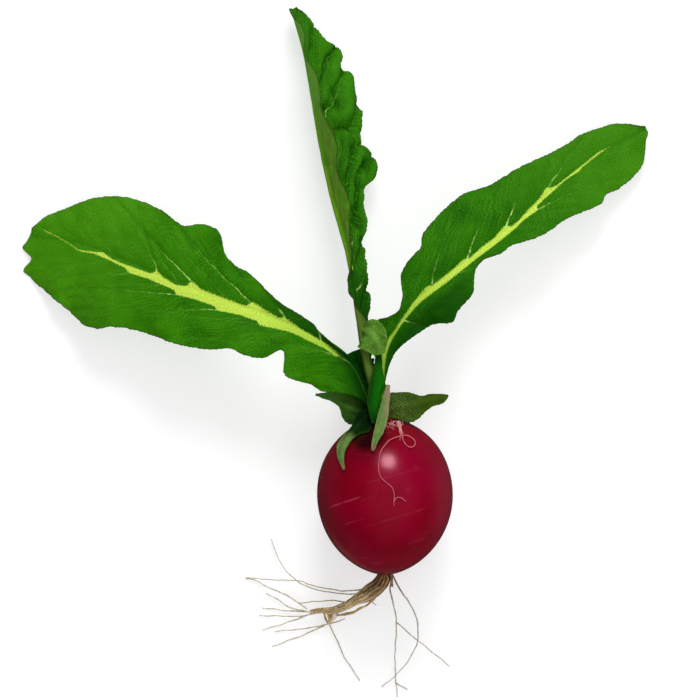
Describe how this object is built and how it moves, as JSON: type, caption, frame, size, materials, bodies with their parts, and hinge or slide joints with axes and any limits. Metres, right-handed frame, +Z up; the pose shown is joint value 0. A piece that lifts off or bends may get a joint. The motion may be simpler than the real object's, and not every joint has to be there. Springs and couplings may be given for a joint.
{
  "type": "radish",
  "caption": "Round red radish with lobed green leaves, a rosette of small leaves at the crown and thin branching roots, lying on its side.",
  "frame": {"origin": "centre of the footprint's bounding box, on the surface that the radish lies on", "axes": "+Y along the bulb's axis from the root to the leaves, +Z up from the surface, +X to the right with the leaves pointing away"},
  "size_m": [0.189, 0.2082, 0.0418],
  "materials": {
    "skin": "smooth crimson skin with a soft gloss",
    "blade": "matt green leaf with yellow-green veins, paler and duller underneath",
    "young_blade": "matt grey-green underside of small leaves",
    "root": "dry brown to tan root fibre",
    "fibre": "thin pinkish hair of root"
  },
  "bodies": {
    "root": {"bulb": "skin", "tap_root": "root", "side_root": "root", "leaf_left": "blade", "leaf_middle": "blade", "leaf_right": "blade", "small_leaf_right": "young_blade", "small_leaf_left": "young_blade", "small_leaf_lower_left": "young_blade", "small_leaf_front": "young_blade", "small_leaf_upright": "young_blade", "small_leaf_back": "young_blade", "small_leaf_under": "young_blade", "loose_hair": "fibre"}
  },
  "joints": []
}
